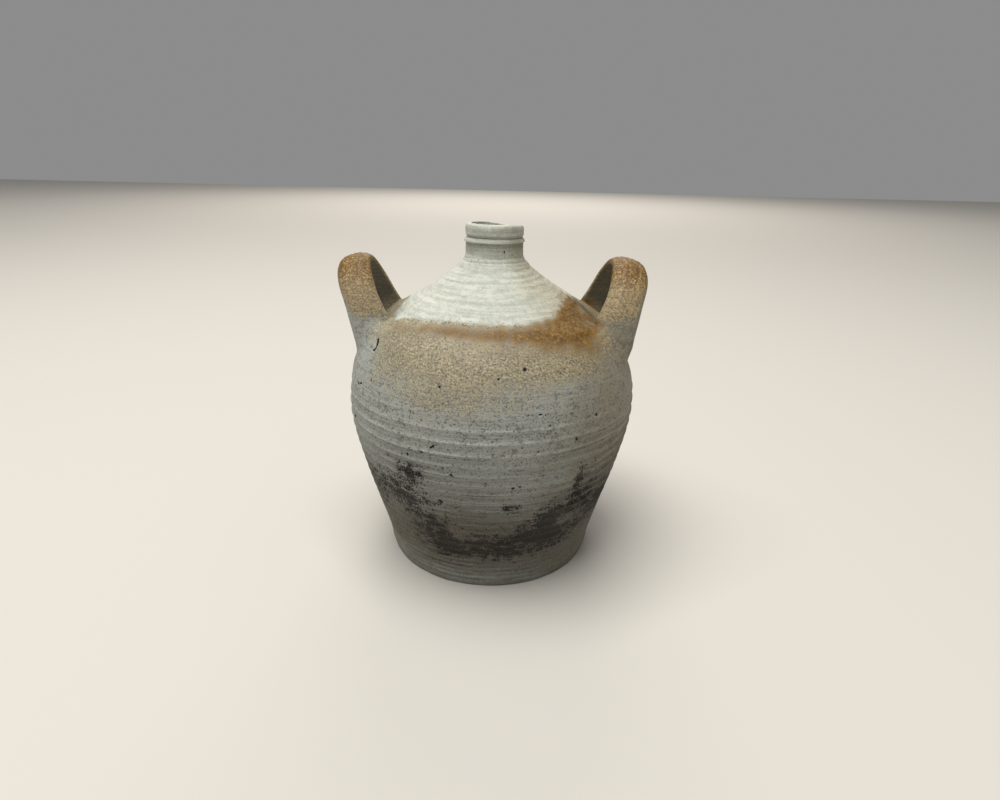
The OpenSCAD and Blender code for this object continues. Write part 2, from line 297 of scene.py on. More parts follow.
def flawed(angle, height, radius, flaws):
    """1 in the middle of a flaw, a half at its edge and 0 at twice its half width: the distance to
    the line between the flaw's two ends, measured over the surface, goes down in a straight line."""
    nearest = np.zeros(np.broadcast(angle, height, radius).shape)
    for a0, z0, a1, z1, half_width in flaws:
        x = np.radians(turn_gap(angle, a0)) * radius
        z = height - z0
        dx, dz = np.radians(a1 - a0) * radius, z1 - z0
        share = np.clip((x * dx + z * dz) / (dx * dx + dz * dz + 1e-9), 0, 1)
        distance = np.hypot(x - share * dx, z - share * dz)
        nearest = np.maximum(nearest, 1 - distance / (2 * half_width))
    return nearest


def linear(hex_colour):
    """An sRGB hex colour as linear red, green, blue and an alpha of 1."""
    parts = [int(hex_colour[i:i + 2], 16) / 255 for i in (1, 3, 5)]
    return [c / 12.92 if c <= 0.04045 else ((c + 0.055) / 1.055) ** 2.4 for c in parts] + [1.0]


def put(tree, kind, settings=None, inputs=None):
    """Adds a node with its settings. Each input is a value for that socket or an output to link."""
    node = tree.nodes.new(kind)
    for name, value in (settings or {}).items():
        setattr(node, name, value)
    for socket, value in (inputs or {}).items():
        if isinstance(value, bpy.types.NodeSocket):
            tree.links.new(value, node.inputs[socket])
        else:
            node.inputs[socket].default_value = value
    return node


def per_metre(millimetres):
    """A texture scale whose pattern repeats or wanders about once in so many millimetres."""
    return 1000 / millimetres


def broken(tree, mask, grains, soft):
    """Breaks a soft mask up into grains. Each noise, less its middle value, is added in its share,
    and the sum goes from 0 to 1 over the soft width on both sides of a half."""
    total, middle = mask, 0.5
    for noise, share in grains:
        total = put(tree, "ShaderNodeMath", {"operation": "MULTIPLY_ADD"},
                    {0: noise, 1: share, 2: total}).outputs[0]
        middle += share / 2
    return put(tree, "ShaderNodeMapRange", {"interpolation_type": "SMOOTHSTEP"},
               {"Value": total, "From Min": middle - soft, "From Max": middle + soft}).outputs["Result"]


def cleared(owner):
    """The empty node tree of a new material or world."""
    owner.use_nodes = True
    owner.node_tree.nodes.clear()
    return owner.node_tree


def layered(tree, colour, coats):
    """Lays coats over a colour, one after another. Each is the mask that shows it and its colour."""
    for mask, coat in coats:
        colour = put(tree, "ShaderNodeMix", {"data_type": "RGBA"},
                     {0: mask, 6: colour, 7: coat}).outputs[2]
    return colour


# Colours of wood-fired, salted stoneware: bluish grey body, khaki ash with lighter and darker grains,
# warmer ash on the straps, pale slip, orange flash, and smoke and dirt from brown to nearly black, and a
# dark grey that is painted shade. The warm ones are for the side that faced the fire.
GREY = ("#838680", "#b4b7b1")
WARM_GREY = ("#7b7569", "#98927f")
KHAKI = ("#857c67", "#a0967c")
WARM_KHAKI = ("#7f735a", "#9f9375")
ASH_LIGHT = "#c0b69b"
ASH_DARK = "#675f4f"
WARM_ASH = "#b39d76"
PALE = ("#aeb2a8", "#d2d4c9")
WARM_PALE = ("#a19f8e", "#c6c3b0")
RUST = ("#53370f", "#8a682b")
SMOKE = ("#4b463c", "#706a5d")
# Painted shade, laid in the hollows by the ears, under the lip and collar, inside the mouth and on the
# ears' inner faces
PAINTED_SHADE = "#3a3a35"
CRUST = ("#14110c", "#2e271e")
BLOTCH = "#66645b"
SPECK = "#2f2a22"
BARE_CLAY = ("#776f5f", "#8c8472")
TORN = "#15120d"
# The clay's noises: a size in millimetres, detail, roughness, and how many times flattened in
# height. They are the salt grain, the mottling, the ash drifts, the turning lines, 1.6 mm high, and
# the clots of dirt. Salt grain can be finer than a millimetre, and is drawn as coarse as it needs
# to show.
NOISES = {"grain": (1.35, 1, 0.6, 1), "mottle": (4.5, 3, 0.6, 1), "drift": (22.0, 3, 0.6, 1),
          "lines": (30.0, 3, 0.6, 30 / 1.6), "clots": (6.5, 5, 0.72, 1.5)}
SPECK_SPACING = 3.7
MARKS = ("khaki", "pale", "rust", "smoke", "crust", "warm", "iron", "painted_shade", "bloom", "bare", "flaw")


def stoneware(name, roughness):
    """Wood-fired stoneware with a thin salt glaze. The eye sees a matt to satin skin with an
    orange-peel grain, fine turning lines, iron specks, and broken edges between its colours."""
    material = bpy.data.materials.new(name)
    tree = cleared(material)
    place = put(tree, "ShaderNodeTexCoord").outputs["Object"]
    noise = {}
    for kind, (size, detail, rough, times) in NOISES.items():
        flattened = put(tree, "ShaderNodeMapping", None, {"Vector": place, "Scale": (1, 1, times)})
        noise[kind] = put(tree, "ShaderNodeTexNoise", None,
                          {"Vector": flattened.outputs[0], "Scale": per_metre(size),
                           "Detail": detail, "Roughness": rough}).outputs["Fac"]
    grain, mottle, drift, lines, clots = noise.values()
    mark = {kind: put(tree, "ShaderNodeAttribute", {"attribute_name": kind}).outputs["Fac"]
            for kind in MARKS}

    # Where a noise or a mark goes past a value: nothing at the first number, and a share, the last
    # number, at the second, which may be the lower of the two
    extremes = {"blotch": (mottle, 0.42, 0.3, 0.6), "light": (grain, 0.52, 0.68, 0.85),
                "dark": (grain, 0.48, 0.3, 0.75), "fleck": (grain, 0.44, 0.3, 0.5),
                "torn": (mark["flaw"], 0.42, 0.6, 1.0)}
    beyond = {kind: put(tree, "ShaderNodeMapRange", {"interpolation_type": "SMOOTHSTEP"},
                        {"Value": source, "From Min": start, "From Max": full,
                         "To Max": share}).outputs["Result"]
              for kind, (source, start, full, share) in extremes.items()}

    # Iron specks: a round dot in the middle of the few cells that draw a high number
    cells = put(tree, "ShaderNodeTexVoronoi", None, {"Vector": place, "Scale": per_metre(SPECK_SPACING)})
    chance = put(tree, "ShaderNodeSeparateColor", None, {"Color": cells.outputs["Color"]}).outputs[0]
    size = put(tree, "ShaderNodeMath", {"operation": "MULTIPLY_ADD"}, {0: chance, 1: 0.5, 2: -0.31})
    inside = put(tree, "ShaderNodeMath", {"operation": "SUBTRACT"},
                 {0: size.outputs[0], 1: cells.outputs["Distance"]}).outputs[0]
    specks = put(tree, "ShaderNodeMapRange", {"interpolation_type": "SMOOTHSTEP"},
                 {"Value": inside, "From Min": -0.02, "From Max": 0.05}).outputs["Result"]
    seen, fleck = [put(tree, "ShaderNodeMath", {"operation": "MULTIPLY"},
                       {0: source, 1: mark["iron"]}).outputs[0] for source in (specks, beyond["fleck"])]

    sunny = broken(tree, mark["warm"], [(drift, 1.0), (grain, 0.5)], 0.5)
    patchy = broken(tree, mottle, [(grain, 1.3), (lines, 1.2)], 0.5)
    ashy = broken(tree, mottle, [(drift, 0.8)], 0.3)
    streaky = broken(tree, lines, [(mottle, 0.8), (grain, 0.6)], 0.3)
    smoky = broken(tree, lines, [(grain, 0.8), (mottle, 0.6)], 0.3)
    burnt = broken(tree, grain, [(mottle, 0.8)], 0.3)
    dirty = broken(tree, grain, [(drift, 0.8)], 0.2)
    khaki = broken(tree, mark["khaki"], [(grain, 0.6), (mottle, 0.7), (drift, 0.6)], 0.4)
    smoke = broken(tree, mark["smoke"], [(lines, 1.4), (mottle, 1.0), (grain, 0.8)], 0.4)
    pale = broken(tree, mark["pale"], [(grain, 0.6), (mottle, 0.6)], 0.4)
    rust = broken(tree, mark["rust"], [(grain, 1.3), (mottle, 0.7)], 0.4)
    bloom = broken(tree, mark["bloom"], [(grain, 1.6), (mottle, 0.6)], 0.35)
    crust = broken(tree, mark["crust"], [(clots, 2.2), (grain, 2.0), (drift, 0.4), (lines, 0.7)], 0.17)

    def pair(mask, colours):
        """The first of two colours, with the second laid over it where the mask is."""
        return layered(tree, linear(colours[0]), [(mask, linear(colours[1]))])

    def fire_side(mask, shaded, warmed):
        """One pair of colours, with a warmer pair laid over it where the jug faced the fire."""
        return layered(tree, pair(mask, shaded), [(sunny, pair(mask, warmed))])

    ash = layered(tree, fire_side(ashy, KHAKI, WARM_KHAKI),
                  [(beyond["light"], linear(ASH_LIGHT)), (beyond["dark"], linear(ASH_DARK))])
    # One smooth dark grey coat near the end is painted shade, from its own mark
    body = layered(tree, fire_side(patchy, GREY, WARM_GREY),
                   [(beyond["blotch"], linear(BLOTCH)), (khaki, ash), (smoke, pair(smoky, SMOKE)),
                    (pale, fire_side(streaky, PALE, WARM_PALE)), (rust, pair(burnt, RUST)),
                    (bloom, linear(WARM_ASH)), (crust, pair(dirty, CRUST)),
                    (fleck, linear(SPECK)), (seen, linear(SPECK)),
                    (mark["bare"], pair(mottle, BARE_CLAY)), (mark["painted_shade"], linear(PAINTED_SHADE)),
                    (beyond["torn"], linear(TORN))])

    height = 0
    for source, share in ((grain, 0.3), (mottle, 0.35), (lines, 0.4), (crust, 0.15), (specks, -0.12)):
        height = put(tree, "ShaderNodeMath", {"operation": "MULTIPLY_ADD"},
                     {0: source, 1: share, 2: height}).outputs[0]
    bump = put(tree, "ShaderNodeBump", None, {"Height": height, "Distance": 0.001, "Strength": 1.0})
    sheen = put(tree, "ShaderNodeMapRange", None,
                {"Value": grain, "To Min": roughness - 0.12, "To Max": roughness + 0.12}).outputs["Result"]
    shader = put(tree, "ShaderNodeBsdfPrincipled", None,
                 {"Base Color": body, "Roughness": sheen, "Normal": bump.outputs[0],
                  "IOR": 1.5, "Specular IOR Level": 0.4})
    put(tree, "ShaderNodeOutputMaterial", None, {"Surface": shader.outputs[0]})
    return material


around = columns_round(BODY_COLUMNS)
under_r = np.linspace(POLE_R, FOOT_R - FOOT_BEVEL - 1, FLOOR_RINGS)[:, None]
under = turned(under_r, 0 * under_r, around)
wire = np.hypot(under[..., 0] - WIRE_CENTRE[0], under[..., 1] - WIRE_CENTRE[1]) / WIRE_PITCH
drag = 0.7 + 0.5 * cloud(around, under_r, 40, 21)
lift = WIRE_DEPTH * (0.5 + 0.5 * np.cos(2 * np.pi * wire)) ** 2 * drag
under[..., 2] = np.clip(lift, 0, None) * (1 - between(under_r, FOOT_R - 9, FOOT_R - 3))
edge_turn = np.radians(np.linspace(-90, 0, 5))[:, None]
worn = 0.25 * (1 + cloud(around, 0, 25, 22))
edge = turned(FOOT_R - FOOT_BEVEL + FOOT_BEVEL * np.cos(edge_turn) - worn,
              FOOT_BEVEL + FOOT_BEVEL * np.sin(edge_turn), around)
side_z = np.linspace(FOOT_BEVEL + 0.8, FLOOR_T, 10)[:, None]
side_r = FOOT_R + (WALL_R - FOOT_R) * (side_z - FOOT_BEVEL) / (FLOOR_T - FOOT_BEVEL)
side = turned(side_r - pressed(around, side_z) - worn * (1 - between(side_z, 1, 5)), side_z, around)
floor_seam = seam_across((WALL_R, FLOOR_T), (WALL_R - WALL_T, FLOOR_T))
seam_rows = squeezed(floor_seam, pressed(around, FLOOR_T), spots(around, FLOOR_T, DENTS), around)[1:]
top_r = np.linspace(WALL_R - WALL_T - 2, POLE_R, FLOOR_RINGS)[:, None]
spiral = 0.35 * (1 - np.cos(2 * np.pi * (top_r / FLOOR_PITCH + around / 360)))
top = turned(top_r, FLOOR_T - spiral, around)
floor_grid = np.concatenate([under, edge, side, seam_rows, top])
base_disc = skin("foot_and_floor", floor_grid, closed=False)
floor_row = np.arange(len(floor_grid))
outside_rows = (floor_row >= len(under)) & (floor_row < len(under) + len(edge) + len(side))
floor_marks = firing(around, floor_grid[..., 2])
floor_marks["bare"] = 1.0 - outside_rows[:, None]
colour_marks(base_disc, floor_grid, floor_marks)
base_disc.data.materials.append(stoneware("wood-fired stoneware, wire-cut foot", 0.72))
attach(base_disc, "root")
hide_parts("base_disc")

# ==== Lower wall ====
# The lower thrown section, 7 mm of stoneware, from the floor to the belly line. The fingers left a
# spiral of ridges in it, and ash and dirt from the kiln stuck to it. It is luted over the floor.

BELLY_R = 114.5
BELLY_Z = 132.0
LOWER_ROWS = 150
INNER_ROWS = 20
# The pitch of the finger's spiral on the inside
INNER_PITCH = 11.0


def cubic(points, t):
    """Points of a cubic curve: its four control points, each times 1 - t and t raised to powers
    that add up to three, and times 1, 3, 3 and 1."""
    p = np.array(points, float)
    t = np.asarray(t, float)[:, None]
    return (1 - t) ** 3 * p[0] + 3 * (1 - t) ** 2 * t * p[1] + 3 * (1 - t) * t * t * p[2] + t ** 3 * p[3]


def outward(points, t):
    """Unit normals of such a curve, on its right when it runs upwards: the slope turned by 90 degrees."""
    p = np.array(points, float)
    t = np.asarray(t, float)[:, None]
    slope = 3 * (1 - t) ** 2 * (p[1] - p[0]) + 6 * (1 - t) * t * (p[2] - p[1]) + 3 * t * t * (p[3] - p[2])
    normal = np.stack([slope[:, 1], -slope[:, 0]], axis=1)
    return normal / np.linalg.norm(normal, axis=1, keepdims=True)


def even_steps(points, count):
    """Parameters of a cubic curve at even distances along it, from its summed lengths."""
    t = np.linspace(0, 1, 800)
    lengths = np.linalg.norm(np.diff(cubic(points, t), axis=0), axis=1)
    return np.interp(np.linspace(0, 1, count), np.append(0, np.cumsum(lengths)) / lengths.sum(), t)


def mitre_normal(below, above):
    """The unit direction halfway between the normals of two curves where they meet."""
    halfway = outward(below, [1])[0] + outward(above, [0])[0]
    return halfway / np.linalg.norm(halfway)


def mitre(below, above):
    """The inner end of a mitred seam: the wall's thickness in from the meeting point of two curves."""
    m = mitre_normal(below, above)
    return np.array(below[3]) - WALL_T / (m @ outward(below, [1])[0]) * m


def thrown_wall(curve, rows, lower_seam, upper_seam, start_normal, end_normal, marks_at):
    """Rows of points over a whole thrown section and its seams, as a closed loop carried round the
    axis: up the outside, which is pressed in along its normal, across the upper seam, down the
    inside, which the dents reach and which has a spiral of its own, and back across the lower seam.
    Also returns the heights of the outside rows, and which rows are outside."""
    t = even_steps(curve, rows)
    line, normal = cubic(curve, t), outward(curve, t)
    ends = (1 - between(t, 0, 0.06))[:, None], between(t, 0.94, 1)[:, None]
    normal = normal * (1 - ends[0]) * (1 - ends[1]) + start_normal * ends[0] + end_normal * ends[1]
    normal = normal / np.linalg.norm(normal, axis=1, keepdims=True)
    depth = marks_at(around, line[:, 1:2])
    outside = set_in(line, normal, depth, around)
    s = np.linspace(1, 0, INNER_ROWS + 2)[1:-1]
    opposite, facing = cubic(curve, s), outward(curve, s)
    in_by = WALL_T + spots(around, opposite[:, 1:2], DENTS)
    in_by = in_by - 0.4 * (1 - np.cos(2 * np.pi * (opposite[:, 1:2] / INNER_PITCH + around / 360)))
    inside = set_in(opposite, facing, in_by, around)
    above = squeezed(upper_seam, depth[-1], spots(around, line[-1, 1], DENTS), around)[1:]
    below = squeezed(lower_seam, depth[0], spots(around, line[0, 1], DENTS), around)[:0:-1]
    grid = np.concatenate([outside, above, inside, below])
    return grid, line[:, 1:2], np.arange(len(grid)) < rows


def body_marks(grid, heights, outside):
    """The firing's marks, the flaws and the bare clay for a thrown section."""
    rows = np.concatenate([heights, np.full((len(grid) - len(heights), 1), heights[-1, 0])])
    marks = firing(around, rows)
    marks["bare"] = 1.0 - outside[:, None]
    marks["flaw"] = flawed(around, rows, np.hypot(grid[..., 0], grid[..., 1]), FLAWS) * outside[:, None]
    return marks


def wall_marks(angle, height):
    """The hand's marks on a wall and the depth of its flaws, a smooth step from edge to middle."""
    radius = np.interp(height, outline[:, 1], outline[:, 0])
    return pressed(angle, height) + FLAW_DEPTH * between(flawed(angle, height, radius, FLAWS), 0.3, 0.8)


CREASE_R = 74.5
CREASE_Z = 203.0
NECK_FOOT_R = 25.0
NECK_Z = 237.0
FLOOR_RIM, BELLY, CREASE, NECK_FOOT = np.array(
    ((WALL_R, FLOOR_T), (BELLY_R, BELLY_Z), (CREASE_R, CREASE_Z), (NECK_FOOT_R, NECK_Z)))


def swept(start, end, leave, arrive):
    """A cubic curve between two points of the outline. Its two handles are shares of the way, in
    radius and in height: one counted on from the start, and one counted back from the end."""
    return start, start + leave * (end - start), end - arrive * (end - start), end


lower_curve = swept(FLOOR_RIM, BELLY, np.array((0.02, 0.13)), np.array((0, 0.29)))
upper_curve = swept(BELLY, CREASE, np.array((0, 0.15)), np.array((0.94, 0.22)))
cone_curve = swept(CREASE, NECK_FOOT, np.array((0.35, 0.29)), np.array((0.16, 0.26)))
# The outside from floor to neck as one line, to measure distances to the wall
outline = np.concatenate([cubic(curve, np.linspace(0, 1, 300))
                          for curve in (lower_curve, upper_curve, cone_curve)])
LEVEL = np.array([1.0, 0.0])
belly_seam = seam_across((BELLY_R, BELLY_Z), mitre(lower_curve, upper_curve))
lower_grid, lower_z, lower_out = thrown_wall(lower_curve, LOWER_ROWS, floor_seam, belly_seam,
                                             LEVEL, LEVEL, wall_marks)
lower_wall = skin("lower_wall_thrown", lower_grid, closed=True)
colour_marks(lower_wall, lower_grid, body_marks(lower_grid, lower_z, lower_out))
lower_wall.data.materials.append(stoneware("wood-fired stoneware, ringed wall", 0.6))
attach(lower_wall, "root")
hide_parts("lower_wall")

# ==== Upper wall ====
# The upper thrown section, from the belly line over the round shoulder to the crease. It was
# smoothed with a rib, so the ridges fade out above the belly, and fly ash gave it a khaki
# orange-peel skin.

UPPER_ROWS = 108
crease_normal = mitre_normal(upper_curve, cone_curve)
crease_seam = seam_across((CREASE_R, CREASE_Z), mitre(upper_curve, cone_curve))
upper_grid, upper_z, upper_out = thrown_wall(upper_curve, UPPER_ROWS, belly_seam, crease_seam,
                                             LEVEL, crease_normal, wall_marks)
upper_wall = skin("upper_wall_thrown", upper_grid, closed=True)
colour_marks(upper_wall, upper_grid, body_marks(upper_grid, upper_z, upper_out))
upper_wall.data.materials.append(stoneware("wood-fired stoneware, ash-coated shoulder", 0.58))
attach(upper_wall, "root")
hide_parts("upper_wall")

# ==== Cone ====
# The collared-in top of the jug, from the crease to the foot of the neck. A coat of pale slip was
# brushed on while the wheel turned, which left fine rings and streaks.

CONE_ROWS = 84
CONE_PITCH = 3.6
CONE_DEPTH = 0.16
MOUTH_R = 15.0
# Heights of the two lines that a tool's corner cut where the neck begins
SCORES = (233.2, 237.8)


def cone_marks(angle, height):
    """The wall's marks, the brush's rings, which are one fine spiral, and the scored lines."""
    turns = height / CONE_PITCH - angle / 360
    rings = CONE_DEPTH * (1 - np.cos(2 * np.pi * turns)) * between(height, CREASE_Z + 1, CREASE_Z + 6)
    hand = 1 + 0.6 * cloud(angle, height * 3, 70, 31)
    score = 0.35 * np.exp(-((height - SCORES[0] + 0.15 * cloud(angle, 0, 60, 33)) / 0.45) ** 2)
    slow = 0.25 * (1 + cloud(angle, height * 1.5, 60, 32)) * between(height, CREASE_Z, CREASE_Z + 12)
    fade = 1 - between(height, NECK_Z - 4, NECK_Z)
    return wall_marks(angle, height) + (rings * hand + slow) * fade + score


neck_normal_below = outward(cone_curve, [1])[0]
neck_seam = seam_across((NECK_FOOT_R, NECK_Z), (MOUTH_R, NECK_Z - WALL_T))
cone_grid, cone_z, cone_out = thrown_wall(cone_curve, CONE_ROWS, crease_seam, neck_seam,
                                          crease_normal, neck_normal_below, cone_marks)
shoulder_cone = skin("cone_thrown", cone_grid, closed=True)
colour_marks(shoulder_cone, cone_grid, body_marks(cone_grid, cone_z, cone_out))
shoulder_cone.data.materials.append(stoneware("wood-fired stoneware, pale slip", 0.78))
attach(shoulder_cone, "root")
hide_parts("shoulder_cone")

# ==== Neck ====
# A thick thrown tube round the stopper's bore. It carries a turned seat for the collar ring and a
# groove under the lip, and the same pale slip as the cone.

NECK_R = 22.0
FLARE_H = 7.02
FLARE_ROWS = 18
LIP_Z = 256.5
COLLAR_Z = 251.5
COLLAR_H = 3.5
SEAT_R = 20.5
NECK_COLUMNS = 320
NECK_PITCH = 2.6
NECK_FLAWS = (
    (20.5, 246.2, 21.2, 245.2, 0.5), (38, 243.2, 39, 242.9, 0.3), (-30, 240, -29.6, 239.8, 0.3),
    (140, 247, 142, 246, 0.5), (-120, 243, -118, 242, 0.5))
neck_curve = ((NECK_FOOT_R, NECK_Z), (23.2, NECK_Z + 1.95),
              (NECK_R, NECK_Z + 3.9), (NECK_R, NECK_Z + FLARE_H))


def spaced(corners, step):
    """Points along straight lines between corners, at most a step apart, corners included."""
    corners = np.array(corners, float)
    pieces = [np.linspace(a, b, max(2, math.ceil(np.linalg.norm(b - a) / step) + 1))[:-1]
              for a, b in zip(corners[:-1], corners[1:])]
    return np.concatenate(pieces + [corners[-1:]])


neck_around = columns_round(NECK_COLUMNS)
flare_t = even_steps(neck_curve, FLARE_ROWS)
shaft = spaced(((NECK_R, NECK_Z + FLARE_H), (NECK_R, COLLAR_Z)), 0.5)[1:]
neck_outer = np.concatenate([cubic(neck_curve, flare_t), shaft])
neck_normal = np.concatenate([outward(neck_curve, flare_t), np.repeat([LEVEL], len(shaft), axis=0)])
neck_z = neck_outer[:, 1:2]
swell = 0.3 * (1 + cloud(neck_around, neck_z * 2, 60, 41)) * between(neck_z, NECK_Z, NECK_Z + 4)
score = 0.4 * np.exp(-((neck_z - SCORES[1] + 0.15 * cloud(neck_around, 0, 60, 33)) / 0.4) ** 2)
above_seam = between(neck_z, NECK_Z, NECK_Z + 3)
rubbed = 0.07 * (1 - np.cos(2 * np.pi * (neck_z / NECK_PITCH - neck_around / 360))) * above_seam
neck_torn = flawed(neck_around, neck_z, NECK_R, NECK_FLAWS)
at_seam = pressed(neck_around, NECK_Z) * (1 - above_seam)
neck_depth = swell + score + rubbed + at_seam + 0.7 * between(neck_torn, 0.3, 0.8)
neck_face = set_in(neck_outer, neck_normal, neck_depth, neck_around)
lip_seam = seam_across((SEAT_R, LIP_Z), (MOUTH_R, LIP_Z))
seat = spaced(((SEAT_R, COLLAR_Z), (SEAT_R, LIP_Z)), 0.8)[:-1]
bore = spaced(((MOUTH_R, LIP_Z), (MOUTH_R, NECK_Z - WALL_T)), 0.8)[1:]
neck_rest = np.concatenate([seat, lip_seam, bore, neck_seam[:0:-1][1:]])
neck_grid = np.concatenate([neck_face, turned(neck_rest[:, 0:1], neck_rest[:, 1:2], neck_around)])
neck = skin("neck_thrown", neck_grid, closed=True)
neck_outside = np.arange(len(neck_grid)) < len(neck_face) + len(seat)
neck_marks = firing(neck_around, np.broadcast_to(neck_grid[:, :1, 2], neck_grid.shape[:2]))
neck_marks["bare"] = 0.6 * (1.0 - neck_outside[:, None])
# Painted shade on the neck under the collar ring and lip
neck_marks["painted_shade"] = 0.32 * between(neck_grid[..., 2], NECK_Z + 3, COLLAR_Z - 1)
neck_marks["iron"] = 0.3
torn_rows = np.zeros(neck_grid.shape[:2])
torn_rows[:len(neck_face)] = neck_torn
neck_marks["flaw"] = torn_rows
colour_marks(neck, neck_grid, neck_marks)
neck.data.materials.append(stoneware("wood-fired stoneware, slipped neck", 0.76))
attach(neck, "root")
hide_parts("neck")

# ==== Collar ring ====
# A thin coil of clay pressed into the seat round the neck, to tie a cover over the stopper. Its
# upper side slopes and its lower edge was left crisp by the tool.

# The ring's face from its lower edge up: how far it stands out of the neck, and the height
COLLAR_FACE = (
    (0.0, 0.0), (0.75, 0.05), (1.0, 0.35), (0.93, 0.8), (0.55, 1.6), (-0.1, 2.5), (-0.9, 3.2),
    (-1.4, 3.5))
collar_line = np.array(COLLAR_FACE) + (NECK_R, COLLAR_Z)
collar_loop = np.concatenate([[[SEAT_R, COLLAR_Z]], spaced(collar_line, 0.2),
                              [[SEAT_R, COLLAR_Z + COLLAR_H]]])
collar_wave = 0.14 * (1 + cloud(neck_around, 0, 30, 51))
collar_out = between(collar_loop[:, 0:1], SEAT_R + 0.4, SEAT_R + 1.6)
collar_grid = turned(collar_loop[:, 0:1] - collar_wave * collar_out, collar_loop[:, 1:2], neck_around)
collar_ring = skin("collar_ring_coil", collar_grid, closed=True)
ring_warm = firing(neck_around, collar_grid[..., 2])["warm"]
# A little painted shade over the whole collar ring
colour_marks(collar_ring, collar_grid, {"pale": 1.0, "warm": ring_warm, "painted_shade": 0.1, "crust": -0.5})
collar_ring.data.materials.append(stoneware("wood-fired stoneware, slipped ring", 0.74))
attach(collar_ring, "root")
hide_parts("collar_ring")

# ==== Lip ====
# The rim, rolled outwards by hand into a soft bead with a mouth that flares for the stopper. It
# sagged on one side before firing, and handling has worn its top.

LIP_H = 8.5
LIP_R = 22.3
ROLL_R = 18.5
FLARE_R = 17.5
LIP_SQUARENESS = 0.7
# The roll's lower edge hangs a little below the seam, against the seat, and is rounder
ROLL_LOW = 255.1
ROLL_MID = 260.2
# Where the rim sagged: the angle, how far round it reaches, and how deep
SAG_ANGLE = 138.0
SAG_REACH = 52.0
SAG_DEPTH = 2.9
roll_turn = np.radians(np.linspace(-90, 90, 46))
under_side = roll_turn < 0
roll_start = np.where(under_side, SEAT_R + 0.1, ROLL_R)
roll_r = roll_start + (LIP_R - roll_start) * np.cos(roll_turn) ** np.where(under_side, 0.9, LIP_SQUARENESS)
roll_half = np.where(under_side, ROLL_MID - ROLL_LOW, LIP_Z + LIP_H - ROLL_MID)
roll_bend = np.abs(np.sin(roll_turn)) ** np.where(under_side, 1.1, LIP_SQUARENESS)
roll_z = ROLL_MID + roll_half * np.sign(roll_turn) * roll_bend
roll = np.stack([roll_r, roll_z], axis=1)
over_turn = np.radians(np.linspace(90, 180, 7))[1:]
over = np.stack([ROLL_R + np.cos(over_turn), LIP_Z + LIP_H - 1 + np.sin(over_turn)], axis=1)
throat = spaced(((FLARE_R, LIP_Z + LIP_H - 1), (MOUTH_R, LIP_Z)), 0.5)[1:]
lip_loop = np.concatenate([roll, over, throat, lip_seam[3::-1]])
rise = (lip_loop[:, 1:2] - LIP_Z).clip(0) / LIP_H
sag = 0.15 + SAG_DEPTH * np.exp(-(turn_gap(neck_around, SAG_ANGLE) / SAG_REACH) ** 2)
sag = sag + 0.12 * (1 + cloud(neck_around, 0, 22, 61))
lip_out = between(lip_loop[:, 0:1], FLARE_R + 0.1, SEAT_R)
lip_wave = (0.25 * (1 + cloud(neck_around, rise * 12, 26, 62)) + 0.1) * lip_out * between(rise, 0, 0.25)
lip_height = LIP_Z + (lip_loop[:, 1:2] - LIP_Z) * (1 - sag * rise / LIP_H)
lip_grid = turned(lip_loop[:, 0:1] - lip_wave, lip_height, neck_around)
lip_ring = skin("lip_rolled", lip_grid, closed=True)
# Painted shade inside the mouth and under the bead of the lip, from these two masks
lip_inside = 1 - between(lip_loop[:, 0:1], FLARE_R - 0.5, FLARE_R + 1.0)
lip_under = 1 - between(lip_loop[:, 1:2], ROLL_LOW, ROLL_MID - 1)
lip_warm = 0.6 * firing(neck_around, lip_grid[..., 2])["warm"]
colour_marks(lip_ring, lip_grid, {"pale": 1.0, "warm": lip_warm, "crust": -0.5,
                                  "painted_shade": 0.5 * lip_inside + 0.3 * lip_under})
lip_ring.data.materials.append(stoneware("wood-fired stoneware, worn lip", 0.7))
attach(lip_ring, "root")
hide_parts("lip_ring")

# ==== Ears ====
# Two straps pulled from a lump of clay, bent into an arch and smeared onto the shoulder with the
# thumb, front and back. The flame flashed their tops orange, and ash made their outsides khaki.

STRAP_T = 8.0
ARCH_POWER = 2.15
SECTION_POWER = 2.8
ROOT_SPREAD = 0.3
SPREAD_REACH = 0.7
# How far the strap's outer face swells in its middle, how much more so towards its outer edge, and
# the share of that by which its inner face is hollow
CROWN = 4.0
CROWN_BIAS = 0.3
INNER_SHARE = 0.4
# The smear's height up the strap and its reach along the wall are given at these turns round the
# strap: its outer edge at 0, its outer face at 90, its edge towards the neck at 180, then inside
SMEAR_TURNS = (0, 45, 90, 115, 140, 180, 225, 270, 315)
EAR_COLUMNS = 120
EAR_ROWS = 240
SMEAR_ROWS = 16
EAR_SIZES = {
    "left_ear": dict(
        node="left_handle", side=-1, span=68.0, rise=38.0, drop=15.0, outside=0.5, lean=21.0, width=26.5,
        climb=(10, 12, 12, 7, 2, 1.5, 2, 2, 5), reach=(8, 11, 12, 9, 3, 2, 2, 2, 4)),
    "right_ear": dict(
        node="right_handle", side=1, span=88.0, rise=39.0, drop=11.0, outside=-1.0, lean=19.0, width=28.0,
        climb=(10, 12, 13, 8, 3, 2, 2, 2, 5), reach=(8, 12, 14, 16, 16, 12, 5, 2, 4)),
}


def squarish(angle, a, b, power):
    """A superellipse: cosine and sine, each raised to 2 over the power, times its half axis."""
    c, s = np.cos(angle), np.sin(angle)
    return a * np.sign(c) * np.abs(c) ** (2 / power), b * np.sign(s) * np.abs(s) ** (2 / power)


